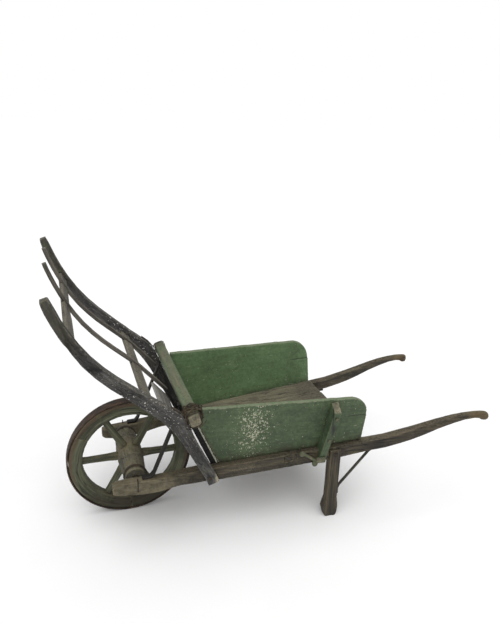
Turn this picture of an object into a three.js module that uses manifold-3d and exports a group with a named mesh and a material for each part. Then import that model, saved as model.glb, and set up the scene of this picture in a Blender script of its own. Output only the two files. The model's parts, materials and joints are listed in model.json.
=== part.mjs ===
// Wooden farm wheelbarrow: spoked wheel, two long curved shafts, open-backed box and a tall curved rack.
// Millimetres. X runs from the wheel to the handles, Y across, Z up. While building, the wheel's axis is
// at x = 0 and "w" is the distance outwards from the middle plane; the finished group is centred at the end.
import * as THREE from "three";
import Module from "manifold-3d";

const wasm = await Module();
wasm.setup();

// ---------------------------------------------------------------- driving dimensions
const FIT = 0.3; // clearance left between touching pieces
const LEFT = -1; // the pusher's left is -Y
const RIGHT = 1;

const WHEEL_RADIUS = 260;
const TYRE = { thickness: 7, width: 48 };
const FELLOE = { depth: 57, width: 45, corner: 5 };
const FELLOE_COUNT = 3;
const SPOKE_COUNT = 6;
const SPOKE = { rootTangent: 36, rootAxial: 28, tipTangent: 30, tipAxial: 24, tenon: 24 };
const HUB_HALF = 180;
const HUB_BULGE = 54;
const HUB_END = 43;
const AXLE_RADIUS = 11;
const BEARING_PLAY = 0.8;
const HUB_SIDES = 32;
const AXLE_SIDES = 20;
const BOLT_SIDES = 10;

const SHAFT_OUTER = 246; // half width over the shafts at the wheel's axis
const SHAFT_SPLAY = 0.069; // how fast the shafts spread towards the handles
const SHAFT_WIDTH = 45;
const DECK_START = 340; // the top of the shafts is straight from here to the back of the floor
const DECK_START_Z = 308;
const DECK_RISE = 0.0614;
// stations along a shaft: [x, middle height, depth, width, corner radius]
const SHAFT_STATIONS = [
  [-96, 255, 36, 32, 6], [-84, 254, 47, 41, 6], [-50, 253, 54, 45, 5], [20, 253, 60, 45, 4],
  [80, 255.5, 61, 45, 4], [120, 261.5, 55, 45, 4], [165, 268, 51, 45, 4], [240, 273.5, 57, 45, 4],
  [DECK_START, 278, 60, 45, 4], [600, 294, 60, 45, 4], [850, 310.3, 58, 45, 4],
  [990, 322.4, 51, 44, 5], [1060, 327, 53, 43, 7], [1140, 341, 55, 42, 9], [1190, 350.5, 55, 41, 11],
  [1250, 365, 53, 40, 13], [1320, 384, 47, 38, 15], [1390, 399, 42, 36, 16], [1450, 408, 35, 35, 16],
  [1500, 410, 32, 34, 14], [1528, 407, 35, 35, 15], [1545, 401, 45, 36, 17], [1560, 399, 43, 35, 16],
  [1569, 400, 30, 27, 12],
];

const LEAN = 0.2; // outward lean of the side panels and of the rack rails
const RAIL_OUTER_AT_FOOT = 283; // half width over the rails at RAIL_FOOT_Z
const RAIL_FOOT_Z = 220;
const RAIL_THICKNESS = 34;
// the curve of a rack rail from tip to foot: [x, z, depth]
const RAIL_PATH = [
  [-299, 1117, 27], [-290, 1090, 33], [-264, 1027, 35], [-226, 952, 37], [-169, 866, 42],
  [-98, 789, 46], [-11, 713, 49], [43, 665, 54], [83, 632, 60], [124, 592, 68],
  [155, 540, 61], [187, 473, 50], [240, 367, 46], [286, 275, 46], [296, 249, 46],
];
const LATH_END = [157, 542];
const LATH = { width: 20, thickness: 17, offset: 3 };
const RIGHT_LATH_W = 252;
const BRACE = { w: 224, width: 26, thickness: 10, foot: 18, bend: 54 };
const RUNG = { width: 47, thickness: 18, offset: -4, tenon: 12 };
const RUNG_UPPER_Z = 948;
const RUNG_LOWER_Z = 674;
const SHORT_BOARD = { x: 130, z: 545, width: 100, thickness: 12, slope: 0.894 };

const FRONT_SLOPE = 0.454; // the front board leans forward by this much of its height
const FRONT_AT_DECK = 327; // x of the front edge of the panels at FRONT_DECK_Z
const FRONT_DECK_Z = 307;
const CROSSBAR = { x: 196, z: 588, depth: 48, width: 54, half: 366, corner: 12, tip: 0.3 };
const PANEL = {
  thickness: 22, rear: 952, topFront: 590, topRear: 577, corner: 88, jointFront: 470, jointRear: 484,
};
const PANEL_OUTER = 220; // half width over the panels at x = 0 and height PANEL_REF_Z
const PANEL_REF_Z = 320;
const FLOOR = { front: 360, rear: 959, thickness: 20, count: 4, gap: 2 };
const FRONT_BOARD = { thickness: 29, foot: 254, joint: 430, top: 570, inset: 3 };
const STAKE = { foot: 302, top: 566, drop: 32, x: 758, slope: 0.122, width: 32, depth: 51, clear: 0.6 };
const LEG = { front: 797, rear: 848, proud: 12, thickness: 40, housing: 10 };
const LEG_STAY = { thickness: 12, foot: 94, bend: 122, top: 1008, end: 1046 };
const CROSS_MEMBERS = [["front", 425, 20], ["middle", 625, SHAFT_WIDTH], ["rear", 922, 20]];
const CROSS_MEMBER = { width: 60, depth: 38, tenonWidth: 54, tenonDepth: 24 };

// ---------------------------------------------------------------- materials
const finish = (color, roughness, metalness = 0) =>
  new THREE.MeshStandardMaterial({ color, roughness, metalness });
const MATERIALS = {
  weathered: finish(0x5f5646, 0.85),
  grey: finish(0x4a4845, 0.85),
  dark: finish(0x22241f, 0.85),
  pale: finish(0x79736a, 0.9),
  green: finish(0x4b623e, 0.6),
  rim: finish(0x4d4f3b, 0.8),
  nave: finish(0x57513f, 0.85),
  floor: finish(0x645c4e, 0.9),
  iron: finish(0x4b3a2e, 0.8, 0.6),
};

// ---------------------------------------------------------------- solid helpers
/** Signed volume of a triangle list, used to turn a shell the right way out. */
function signedVolume(points, index) {
  let six = 0;
  for (let i = 0; i < index.length; i += 3) {
    const [a, b, c] = [points[index[i]], points[index[i + 1]], points[index[i + 2]]];
    six += a.dot(b.clone().cross(c));
  }
  return six / 6;
}

/** A closed solid from points and triangles. */
function solidOf(points, index) {
  const faces = signedVolume(points, index) < 0 ? index.slice().reverse() : index;
  return new wasm.Manifold(new wasm.Mesh({
    numProp: 3,
    vertProperties: Float32Array.from(points.flatMap((p) => [p.x, p.y, p.z])),
    triVerts: Uint32Array.from(faces),
  }));
}

/** A closed solid through rings of points, capped at both ends or joined into a loop. */
function skin(rings, looped = false) {
  const n = rings[0].length;
  const index = [];
  const spans = looped ? rings.length : rings.length - 1;
  for (let i = 0; i < spans; i++) {
    const a = i * n;
    const b = ((i + 1) % rings.length) * n;
    for (let j = 0; j < n; j++) {
      const k = (j + 1) % n;
      index.push(a + j, b + j, b + k, a + j, b + k, a + k);
    }
  }
  if (!looped) {
    const last = (rings.length - 1) * n;
    for (let j = 1; j < n - 1; j++) index.push(0, j, j + 1, last, last + j + 1, last + j);
  }
  return solidOf(rings.flat(), index);
}

/** Outline of a rounded rectangle as [u, v] pairs. */
function roundedOutline(width, depth, radius, steps = 2) {
  const r = Math.min(radius, width / 2 - 0.2, depth / 2 - 0.2);
  const outline = [];
  for (let corner = 0; corner < 4; corner++) {
    const cu = (corner === 0 || corner === 3 ? 1 : -1) * (width / 2 - r);
    const cv = (corner < 2 ? 1 : -1) * (depth / 2 - r);
    for (let s = 0; s <= steps; s++) {
      const angle = (corner + s / steps) * Math.PI / 2;
      outline.push([cu + r * Math.cos(angle), cv + r * Math.sin(angle)]);
    }
  }
  return outline;
}

/** One ring: a rounded rectangle round a centre, spread along the axes u and v. */
function ring(centre, u, v, width, depth, radius, steps) {
  return roundedOutline(width, depth, radius, steps)
    .map(([a, b]) => centre.clone().addScaledVector(u, a).addScaledVector(v, b));
}

/** A flat bar bent along a path; `across` is the direction of its width. */
function strip(path, across, width, thickness, radius = 1.5, steps = 2) {
  const points = path.map((p) => new THREE.Vector3(...p));
  const u = new THREE.Vector3(...across).normalize();
  const rings = points.map((point, i) => {
    const back = i > 0 ? point.clone().sub(points[i - 1]).normalize() : null;
    const ahead = i < points.length - 1 ? points[i + 1].clone().sub(point).normalize() : null;
    const along = (back ?? ahead).clone().add(ahead ?? back).normalize();
    const stretch = back && ahead ? 1 / Math.max(0.5, along.dot(ahead)) : 1;
    const v = along.clone().cross(u).normalize();
    return ring(point, u, v, width, thickness * stretch, radius, steps);
  });
  return skin(rings);
}

/** A block whose sides follow `offset(x, z)` outwards from the middle plane. */
function block(side, [x0, x1], [w0, w1], [z0, z1], offset = () => 0) {
  const corners = [];
  for (const x of [x0, x1]) {
    const loop = [[w0, z0], [w1, z0], [w1, z1], [w0, z1]];
    corners.push(loop.map(([w, z]) => new THREE.Vector3(x, side * (offset(x, z) + w), z)));
  }
  return skin(corners);
}

/** A flat piece with an outline in x and z, between two distances from the middle plane. */
function plate(side, corners, inner, outer) {
  const drawn = corners.map(([x, z]) => new THREE.Vector2(x, z));
  const shape = THREE.ShapeUtils.isClockWise(drawn) ? drawn.reverse() : drawn;
  const face = (w) => shape.map(({ x, y: z }) => new THREE.Vector3(x, side * w(x, z), z));
  const n = shape.length;
  const index = [];
  for (const [a, b, c] of THREE.ShapeUtils.triangulateShape(shape, [])) {
    index.push(a, b, c, n + c, n + b, n + a);
  }
  for (let j = 0; j < n; j++) {
    const k = (j + 1) % n;
    index.push(k, j, n + j, k, n + j, n + k);
  }
  return solidOf([...face(inner), ...face(outer)], index);
}

/** A turned piece about the Y axis through (x, z), from a profile of [w, radius] pairs. */
function turned(profile, x, z, segments) {
  const rings = profile.map(([w, radius]) => Array.from({ length: segments }, (_, i) => {
    const angle = (i / segments) * 2 * Math.PI;
    return new THREE.Vector3(x + radius * Math.cos(angle), w, z + radius * Math.sin(angle));
  }));
  return skin(rings);
}

/** A bolt lying along Y with a domed head outwards, from w = inner to the seat at w = outer. */
function bolt(side, x, z, inner, outer, radius = 5, head = 10) {
  return turned([
    [side * inner, radius], [side * outer, radius], [side * (outer + FIT), head],
    [side * (outer + 2.2), head], [side * (outer + 4.6), head * 0.62], [side * (outer + 5.4), head * 0.2],
  ], x, z, BOLT_SIDES);
}
const boltHole = (side, x, z, inner, outer, radius = 5) =>
  turned([[side * inner, radius + FIT], [side * outer, radius + FIT]], x, z, BOLT_SIDES);

const join = (first, ...others) => others.reduce((whole, piece) => whole.add(piece), first);
const cut = (first, ...others) => others.reduce((whole, piece) => whole.subtract(piece), first);

// ---------------------------------------------------------------- the lines the pieces share
const shaftOuter = (x) => SHAFT_OUTER + SHAFT_SPLAY * x;
const deck = (x) => DECK_START_Z + DECK_RISE * (x - DECK_START);
const panelOuter = (x, z) => PANEL_OUTER + SHAFT_SPLAY * x + LEAN * (z - PANEL_REF_Z);
const panelInner = (x, z) => panelOuter(x, z) - PANEL.thickness;
const railOuter = (z) => RAIL_OUTER_AT_FOOT + LEAN * (z - RAIL_FOOT_Z);
const railInner = (z) => railOuter(z) - RAIL_THICKNESS;
const frontEdge = (z) => FRONT_AT_DECK - FRONT_SLOPE * (z - FRONT_DECK_Z);
const stakeX = (z) => STAKE.x + STAKE.slope * (z - STAKE.foot);

/** Height of a shaft's top (face = 1) or underside (face = -1) at x, from its stations. */
function shaftFace(x, face) {
  const after = SHAFT_STATIONS.findIndex(([sx]) => sx >= x);
  const [x0, z0, d0] = SHAFT_STATIONS[after - 1];
  const [x1, z1, d1] = SHAFT_STATIONS[after];
  return THREE.MathUtils.mapLinear(x, x0, x1, z0 + (face * d0) / 2, z1 + (face * d1) / 2);
}
const shaftTop = (x) => shaftFace(x, 1);
const shaftBottom = (x) => shaftFace(x, -1);

/** Place on a smooth curve through [x, z, depth] points: position, direction and depth at 0..1. */
function curveOf(stations) {
  const curve = new THREE.CatmullRomCurve3(stations.map(([x, z, d = 0]) => new THREE.Vector3(x, d, z)));
  return (t) => {
    const p = curve.getPoint(t);
    const d = curve.getTangent(t);
    const along = new THREE.Vector3(d.x, 0, d.z).normalize();
    return { x: p.x, z: p.z, depth: p.y, along, behind: new THREE.Vector3(-along.z, 0, along.x) };
  };
}
const railCurve = curveOf(RAIL_PATH);
const lathCurve = curveOf([...RAIL_PATH.slice(0, 8), LATH_END]);

/** The place on the rack's curve at a height. */
function railAt(height) {
  let [low, high] = [0, 1];
  for (let i = 0; i < 40; i++) {
    const middle = (low + high) / 2;
    if (railCurve(middle).z > height) low = middle;
    else high = middle;
  }
  return railCurve(low);
}

// ---------------------------------------------------------------- wheel
const WHEEL_Z = WHEEL_RADIUS;
const rimOuter = WHEEL_RADIUS - TYRE.thickness - 0.5;
const rimInner = rimOuter - FELLOE.depth;

/** Directions at an angle round the wheel, seen from the left with the handles to the right. */
function spin(angle) {
  const out = new THREE.Vector3(Math.cos(angle), 0, Math.sin(angle));
  return { out, round: new THREE.Vector3(-out.z, 0, out.x), axis: new THREE.Vector3(0, 1, 0) };
}
const onWheel = (out, radius) => out.clone().multiplyScalar(radius).add(new THREE.Vector3(0, 0, WHEEL_Z));

function spoke(number, grow = 0) {
  const { out, round, axis } = spin(((number - 1) / SPOKE_COUNT) * 2 * Math.PI);
  const section = (radius, tangent, axial, corner) =>
    ring(onWheel(out, radius), round, axis, tangent + 2 * grow, axial + 2 * grow, corner);
  const { rootTangent, rootAxial, tipTangent, tipAxial, tenon } = SPOKE;
  return skin([
    section(34 - grow, tenon, tenon - 4, 2), section(HUB_BULGE - 3, tenon, tenon - 4, 2),
    section(HUB_BULGE - 3 + FIT, rootTangent, rootAxial, 8),
    section(HUB_BULGE + 40, rootTangent - 4, rootAxial - 2, 10),
    section(rimInner - 20, tipTangent, tipAxial, 10), section(rimInner - FIT, tipTangent + 1, tipAxial, 8),
    section(rimInner, tenon - 4, tenon - 7, 3), section(rimInner + 26 + grow, tenon - 4, tenon - 7, 3),
  ]);
}

function felloe(number) {
  const span = (2 * Math.PI) / FELLOE_COUNT;
  const gap = FIT / rimOuter;
  const start = Math.PI / 6 + (number - 1) * span + gap;
  const steps = 13;
  const rings = Array.from({ length: steps + 1 }, (_, i) => {
    const { out, axis } = spin(start + ((span - 2 * gap) * i) / steps);
    const middle = (rimInner + rimOuter) / 2;
    return ring(onWheel(out, middle), out, axis, FELLOE.depth, FELLOE.width, FELLOE.corner, 2);
  });
  const mortises = Array.from({ length: SPOKE_COUNT }, (_, i) => spoke(i + 1, FIT));
  return cut(skin(rings), ...mortises);
}

function tyre() {
  const steps = 78;
  const middle = WHEEL_RADIUS - TYRE.thickness / 2;
  const rings = Array.from({ length: steps }, (_, i) => {
    const { out, axis } = spin(-Math.PI / 2 + (2 * Math.PI * i) / steps);
    return ring(onWheel(out, middle), out, axis, TYRE.thickness, TYRE.width, 1.5, 1);
  });
  return skin(rings, true);
}

const HUB_PROFILE = [
  [HUB_HALF, HUB_END - 3], [HUB_HALF - 4, HUB_END], [166, HUB_END], [148, HUB_END], [146, 45.5],
  [104, 49], [84, 50], [80, 46.5], [72, 46.5], [66, 51.5], [34, HUB_BULGE],
];
function hub() {
  const half = HUB_PROFILE.map(([w, r]) => [w, r]);
  const whole = [...half, ...half.map(([w, r]) => [-w, r]).reverse()];
  const beyond = HUB_HALF + 5;
  const bore = turned([-beyond, beyond].map((w) => [w, AXLE_RADIUS + FIT]), 0, WHEEL_Z, AXLE_SIDES);
  const mortises = Array.from({ length: SPOKE_COUNT }, (_, i) => spoke(i + 1, FIT));
  return cut(turned(whole, 0, WHEEL_Z, HUB_SIDES), bore, ...mortises);
}

function hubBand(side) {
  const seat = HUB_END / Math.cos(Math.PI / HUB_SIDES) + FIT;
  const shell = turned([[side * 149, seat + 3.5], [side * 165, seat + 3.5]], 0, WHEEL_Z, HUB_SIDES);
  return cut(shell, turned([[side * 140, seat], [side * 170, seat]], 0, WHEEL_Z, HUB_SIDES));
}

const AXLE_HALF = 222;
const axle = () => turned([
  [-AXLE_HALF, AXLE_RADIUS - 1.5], [-AXLE_HALF + 2, AXLE_RADIUS],
  [AXLE_HALF - 2, AXLE_RADIUS], [AXLE_HALF, AXLE_RADIUS - 1.5],
], 0, WHEEL_Z, AXLE_SIDES);

// ---------------------------------------------------------------- shafts, legs and what ties them
/** A shaft's plain body; the outer face can be taken in to leave the core behind a housing. */
function shaftBody(side, grow = 0, takenIn = 0) {
  return skin(SHAFT_STATIONS.map(([x, z, depth, width, corner]) => {
    const w = shaftOuter(x) - width / 2 - takenIn / 2;
    return ring(new THREE.Vector3(x, side * w, z), new THREE.Vector3(0, 1, 0), new THREE.Vector3(0, 0, 1),
      width - takenIn + 2 * grow, depth + 2 * grow, takenIn > 0 ? 0.5 : corner);
  }));
}

/** The whole leg before it is cut to the shaft: worn wider just above the ground. */
function legBlank(side, grow = 0) {
  const outer = shaftOuter(LEG.front) + LEG.proud;
  // [height, change of the front edge, change of the back edge, taken off the thickness]
  const heights = [
    [0, -1, -3, 3], [14, -5, 3, 2], [42, -13, 5, 0], [64, -8, 3, 0], [90, 0, -1, 0], [335, 0, 0, 0],
  ];
  return skin(heights.map(([z, front, rear, thin]) => {
    const [x0, x1] = [LEG.front + front - grow, LEG.rear + rear + grow];
    const centre = new THREE.Vector3((x0 + x1) / 2, side * (outer - LEG.thickness / 2 + thin / 2), z);
    return ring(centre, new THREE.Vector3(1, SHAFT_SPLAY * side, 0), new THREE.Vector3(0, 1, 0),
      x1 - x0, LEG.thickness - thin + 2 * grow, 5, 2);
  }));
}
const legCheekTop = 326;
/** The part of the shaft's outer face given up to the leg's cheek. */
const legHousing = (side) => block(side, [LEG.front - FIT, LEG.rear + FIT], [-LEG.housing - FIT, 20],
  [200, legCheekTop + FIT], shaftOuter);

function leg(side) {
  const above = block(side, [700, 900], [-100, 60], [legCheekTop, 400], shaftOuter);
  const boltAt = [(LEG.front + LEG.rear) / 2, 304];
  return cut(legBlank(side), shaftBody(side, FIT, LEG.housing), above, boltHole(side, ...boltAt, 200, 400));
}
function legBolt(side) {
  const x = (LEG.front + LEG.rear) / 2;
  return bolt(side, x, 304, shaftOuter(x) - SHAFT_WIDTH + 4, shaftOuter(x) + LEG.proud, 5, 11);
}

/** A forged bar from the back of the leg up to the underside of the shaft. */
function legStay(side) {
  const w = side * (shaftOuter(900) - 20);
  const { thickness, foot, bend, top, end } = LEG_STAY;
  const back = LEG.rear + thickness / 2 + 1;
  const under = (x) => shaftBottom(x) - thickness / 2 - 1.1;
  return strip([
    [back, w, foot], [back, w, bend], [back + 7, w, bend + 15], [top - 13, w, under(top) - 7],
    [top, w, under(top)], [end, w, under(end)],
  ], [0, 1, 0], thickness, thickness, 4, 2);
}

function crossMember(x, tenon, grow = 0) {
  const { width, depth, tenonWidth, tenonDepth } = CROSS_MEMBER;
  const z = deck(x) - FIT - depth / 2;
  const inner = shaftOuter(x) - SHAFT_WIDTH;
  const long = new THREE.Vector3(1, 0, DECK_RISE).normalize();
  const high = new THREE.Vector3(-DECK_RISE, 0, 1).normalize();
  const section = (w, a, b, corner) =>
    ring(new THREE.Vector3(x, w, z), long, high, a + 2 * grow, b + 2 * grow, corner, 1);
  const reach = inner + tenon - (tenon === SHAFT_WIDTH ? 1 : 0) + 2 * grow;
  const shoulder = inner - 3;
  return skin([
    section(-reach, tenonWidth, tenonDepth, 1), section(-shoulder - FIT, tenonWidth, tenonDepth, 1),
    section(-shoulder, width, depth, 2), section(shoulder, width, depth, 2),
    section(shoulder + FIT, tenonWidth, tenonDepth, 1), section(reach, tenonWidth, tenonDepth, 1),
  ]);
}

const axleKeeper = (side, grow = 0) => block(side, [-2.5 - grow, 2.5 + grow], [-17 - grow, 1.5 + grow],
  [237 - grow, 291 + grow], shaftOuter);

// ---------------------------------------------------------------- rack
/** A rack rail; `grow` makes the same shape a little larger for cutting housings. */
function railBody(side, grow = 0) {
  const steps = 22;
  return skin(Array.from({ length: steps + 1 }, (_, i) => {
    const { x, z, depth, behind } = railCurve(i / steps);
    return roundedOutline(RAIL_THICKNESS + 2 * grow, depth + 2 * grow, 4, 2).map(([w, v]) => {
      const point = new THREE.Vector3(x, 0, z).addScaledVector(behind, v);
      point.y = side * (railOuter(point.z) - RAIL_THICKNESS / 2 + w);
      return point;
    });
  }));
}

/** A straight bar across the rack at a height, let into both rails. */
function rung(height, grow = 0) {
  const place = railAt(height);
  const centre = new THREE.Vector3(place.x, 0, place.z).addScaledVector(place.behind, RUNG.offset);
  const reach = railInner(centre.z) + RUNG.tenon + grow;
  return skin([-reach, reach].map((w) => ring(new THREE.Vector3(centre.x, w, centre.z), place.along,
    place.behind, RUNG.width + 2 * grow, RUNG.thickness + 2 * grow, 4, 2)));
}

function lath(w, grow = 0) {
  const steps = 16;
  return skin(Array.from({ length: steps + 1 }, (_, i) => {
    const { x, z, behind } = lathCurve(i / steps);
    const centre = new THREE.Vector3(x, w, z).addScaledVector(behind, LATH.offset);
    const [width, thickness] = [LATH.width + 2 * grow, LATH.thickness + 2 * grow];
    return ring(centre, new THREE.Vector3(0, 1, 0), behind, width, thickness, 3, 1);
  }));
}

/** The short wide board low on the rack, between the left rail and the middle lath. */
function shortBoard(grow = 0) {
  const along = new THREE.Vector3(SHORT_BOARD.slope, 0, -1).normalize();
  const behind = new THREE.Vector3(-along.z, 0, along.x);
  const reach = [-(railInner(SHORT_BOARD.z) + 8 + grow), 6 + grow];
  return skin(reach.map((w) => ring(new THREE.Vector3(SHORT_BOARD.x, w, SHORT_BOARD.z), along, behind,
    SHORT_BOARD.width + 2 * grow, SHORT_BOARD.thickness + 2 * grow, 3, 1)));
}

/** A flat iron brace from the top of the shaft up to the front face of the crossbar. */
function rackBrace(side, grow = 0) {
  const w = side * BRACE.w;
  const bed = BRACE.thickness / 2 + 0.9;
  const lap = (height) => {
    const { along, high } = crossbarAxes();
    const away = CROSSBAR.depth / 2 + BRACE.thickness / 2 + 1.5;
    const place = new THREE.Vector3(CROSSBAR.x, w, CROSSBAR.z);
    return place.addScaledVector(along, -away).addScaledVector(high, height).toArray();
  };
  return strip([
    [BRACE.foot, w, shaftTop(BRACE.foot) + bed], [BRACE.bend, w, shaftTop(BRACE.bend) + bed],
    [BRACE.bend + 12, w, shaftTop(BRACE.bend) + bed + 15], lap(-10), lap(14),
  ], [0, 1, 0], BRACE.width + 2 * grow, BRACE.thickness + 2 * grow);
}

const RAIL_BOLT = [276, 282];
function rackRail(side) {
  return cut(railBody(side), rung(RUNG_UPPER_Z, FIT), rung(RUNG_LOWER_Z, FIT), shortBoard(FIT),
    crossbarBody(FIT), boltHole(side, ...RAIL_BOLT, 100, 400));
}
function railBolt(side) {
  const [x, z] = RAIL_BOLT;
  return bolt(side, x, z, shaftOuter(x) - SHAFT_WIDTH + 4, railOuter(z) + 2.6, 5, 10);
}

// ---------------------------------------------------------------- box
/** The crossbar's two directions across its length: it is tipped with the front board. */
function crossbarAxes() {
  return {
    along: new THREE.Vector3(1, 0, CROSSBAR.tip).normalize(),
    high: new THREE.Vector3(-CROSSBAR.tip, 0, 1).normalize(),
  };
}

function crossbarBody(grow = 0) {
  const { along, high } = crossbarAxes();
  const section = (w, less) => ring(new THREE.Vector3(CROSSBAR.x, w, CROSSBAR.z), along, high,
    CROSSBAR.depth - less + 2 * grow, CROSSBAR.width - less + 2 * grow, CROSSBAR.corner, 3);
  const half = CROSSBAR.half + grow;
  return skin([section(-half, 8), section(-half + 5, 0), section(half - 5, 0), section(half, 8)]);
}

/** Iron band round the end of the crossbar with a tongue laid along the back edge of the rail. */
function crossbarBand(side) {
  const { along, high } = crossbarAxes();
  const at = (w) => new THREE.Vector3(CROSSBAR.x, side * w, CROSSBAR.z);
  const hoop = (extra, ...ends) => skin(ends.map((w) => ring(at(w), along, high,
    CROSSBAR.depth + 2 * extra, CROSSBAR.width + 2 * extra, CROSSBAR.corner + extra, 3)));
  const tongue = skin([560, 580, 604, 628].map((height) => {
    const { x, z, depth, behind } = railAt(height);
    const centre = new THREE.Vector3(x, side * (railOuter(z) - 7), z);
    centre.addScaledVector(behind, depth / 2 + 2.2);
    return ring(centre, new THREE.Vector3(0, 1, 0), behind, 22, 3, 1, 1);
  }));
  return cut(join(hoop(3.2, 353, 363), tongue), hoop(FIT, 300, 380), railBody(side, FIT));
}

/** A plank of the front board between two heights: it closes off the panels' front ends, edge to edge. */
function frontPlank(low, high) {
  const reach = (x, z) => panelOuter(x, z) - FRONT_BOARD.inset;
  const thick = FRONT_BOARD.thickness * Math.hypot(1, FRONT_SLOPE);
  return skin([low, high].map((z) => {
    const x = frontEdge(z) - 3 * FIT;
    return [[x - thick, -1], [x - thick, 1], [x, 1], [x, -1]].map(([px, s]) =>
      new THREE.Vector3(px, s * reach(px, z), z));
  }));
}

const panelTop = (x) => THREE.MathUtils.mapLinear(x, 240, 900, PANEL.topFront, PANEL.topRear);
const panelJoint = (x) => THREE.MathUtils.mapLinear(x, 280, PANEL.rear, PANEL.jointFront, PANEL.jointRear);

/** One plank of a side panel: "upper" has the rounded back corner, "lower" stands on the shaft. */
function panelPlank(side, which) {
  const behindBar = CROSSBAR.x + CROSSBAR.depth / 2 + 8;
  let outline;
  if (which === "lower") {
    const topX = frontEdge(PANEL.jointFront);
    outline = [
      [frontEdge(deck(325)), deck(325) + 2 * FIT], [PANEL.rear, deck(PANEL.rear) + 2 * FIT],
      [PANEL.rear - 2, panelJoint(PANEL.rear) - FIT], [topX, panelJoint(topX) - FIT],
    ];
  } else {
    const frontX = frontEdge(PANEL.jointFront);
    const corner = [];
    const steps = 9;
    for (let i = 0; i <= steps; i++) {
      const angle = (i / steps) * Math.PI / 2;
      corner.push([
        PANEL.rear - 4 - PANEL.corner * (1 - Math.cos(angle)),
        PANEL.topRear - 2 - PANEL.corner * (1 - Math.sin(angle)),
      ]);
    }
    outline = [
      [frontX, panelJoint(frontX) + FIT], [PANEL.rear - 2, panelJoint(PANEL.rear) + FIT], ...corner,
      [behindBar, panelTop(behindBar)], [behindBar, FRONT_DECK_Z + (FRONT_AT_DECK - behindBar) / FRONT_SLOPE],
    ];
  }
  const holes = STAKE_BOLTS.map(([, z]) => boltHole(side, stakeX(z), z, 100, 500, 4));
  return cut(plate(side, outline, panelInner, panelOuter), ...holes);
}

/** The stake before it is cut to the shaft: square, with a top that slopes down outwards. */
function stakeBody(side, grow = 0, top = STAKE.top) {
  const [inner, outer, half] = [STAKE.clear / 2 - grow, STAKE.depth + grow, STAKE.width / 2 + grow];
  const loop = [
    [-half, inner], [half, inner], [half, outer - 3],
    [half - 3, outer], [3 - half, outer], [-half, outer - 3],
  ];
  const foot = () => STAKE.foot - grow;
  const head = (out) => top - STAKE.drop * (out / STAKE.depth);
  return skin([foot, head].map((height) => loop.map(([across, out]) => {
    const z = height(out);
    const x = stakeX(z) + across;
    return new THREE.Vector3(x, side * (panelOuter(x, z) + out), z);
  })));
}
const STAKE_BOLTS = [["upper", 506], ["lower", 396]];
/** The stake stands on the shaft with a shoulder; a cheek outside the shaft reaches into the bracket. */
function stake(side) {
  const holes = STAKE_BOLTS.map(([, z]) => boltHole(side, stakeX(z), z, 100, 500, 4));
  return cut(stakeBody(side), shaftBody(side, FIT + STAKE.clear / 2), ...holes);
}
function stakeBolt(side, z) {
  const x = stakeX(z);
  return bolt(side, x, z, panelInner(x, z) + 1, panelOuter(x, z) + STAKE.depth + 2.2, 4, 8);
}

/** Forged bracket: an eye at the top of the shaft, an arm down its face and a hook round the stake's foot. */
function stakeBracket(side) {
  const face = (x, out) => side * (shaftOuter(x) + out);
  const arm = strip([
    [664, face(664, 6), 332], [678, face(678, 7), 326], [698, face(698, 7), 312], [714, face(714, 8), 301],
    [724, face(724, 12), 295], [738, face(738, 14), 291.5], [766, face(766, 14), 292.5],
  ], [0, 1, 0], 11, 13, 4, 2);
  const eye = turned([[face(672, 0.4), 13], [face(672, 9), 13], [face(672, 13), 9]], 672, 326, 12);
  const knob = turned([[face(728, 1), 10], [face(728, 14), 14], [face(728, 21), 8]], 728, 277, 12);
  const lip = block(side, [726, 768], [22, 30], [287, 314], shaftOuter);
  const shelf = block(side, [726, 768], [0.5, 30], [287, 298], shaftOuter);
  return cut(join(arm, eye, knob, lip, shelf), stakeBody(side, STAKE.clear, 420), shaftBody(side, FIT));
}

/** Floor board `number` of FLOOR.count, running from the front board to the open back. */
function floorBoard(number) {
  const edge = (fraction, x, z) => fraction * (panelInner(x, z) - 2);
  const [a, b] = [number - 1, number].map((n) => -1 + (2 * n) / FLOOR.count);
  const inset = (fraction) => (Math.abs(fraction) === 1 ? 0 : FLOOR.gap / 2);
  return skin([0, 1].map((end) => {
    const loop = [[0, a], [0, b], [1, b], [1, a]];
    return loop.map(([up, fraction]) => {
      const front = frontEdge(deck(FLOOR.front) + up * FLOOR.thickness) + 2;
      const x = end === 0 ? front : FLOOR.rear - [0, 4, 1, 3][number - 1];
      const z = deck(x) + 2 * FIT + up * FLOOR.thickness;
      return new THREE.Vector3(x, edge(fraction, x, z) + (fraction === a ? inset(a) : -inset(b)), z);
    });
  }));
}

function shaft(side) {
  const bearing = turned([[side * 150, AXLE_RADIUS + BEARING_PLAY], [side * 224, AXLE_RADIUS + BEARING_PLAY]],
    0, WHEEL_Z, AXLE_SIDES);
  return cut(shaftBody(side), bearing, axleKeeper(side, FIT), railBody(side, FIT), legHousing(side),
    ...CROSS_MEMBERS.map(([, x, tenon]) => crossMember(x, tenon, FIT)),
    boltHole(side, ...RAIL_BOLT, 100, 400), boltHole(side, (LEG.front + LEG.rear) / 2, 304, 200, 400));
}

// ---------------------------------------------------------------- assembly
const root = new THREE.Group();
root.name = "wheelbarrow";

function addPiece(name, solid, material) {
  const { vertProperties, triVerts } = solid.getMesh();
  const geometry = new THREE.BufferGeometry();
  geometry.setAttribute("position", new THREE.BufferAttribute(Float32Array.from(vertProperties), 3));
  geometry.setIndex(new THREE.BufferAttribute(Uint32Array.from(triVerts), 1));
  geometry.computeVertexNormals();
  const mesh = new THREE.Mesh(geometry, MATERIALS[material]);
  mesh.name = name;
  root.add(mesh);
}

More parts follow.
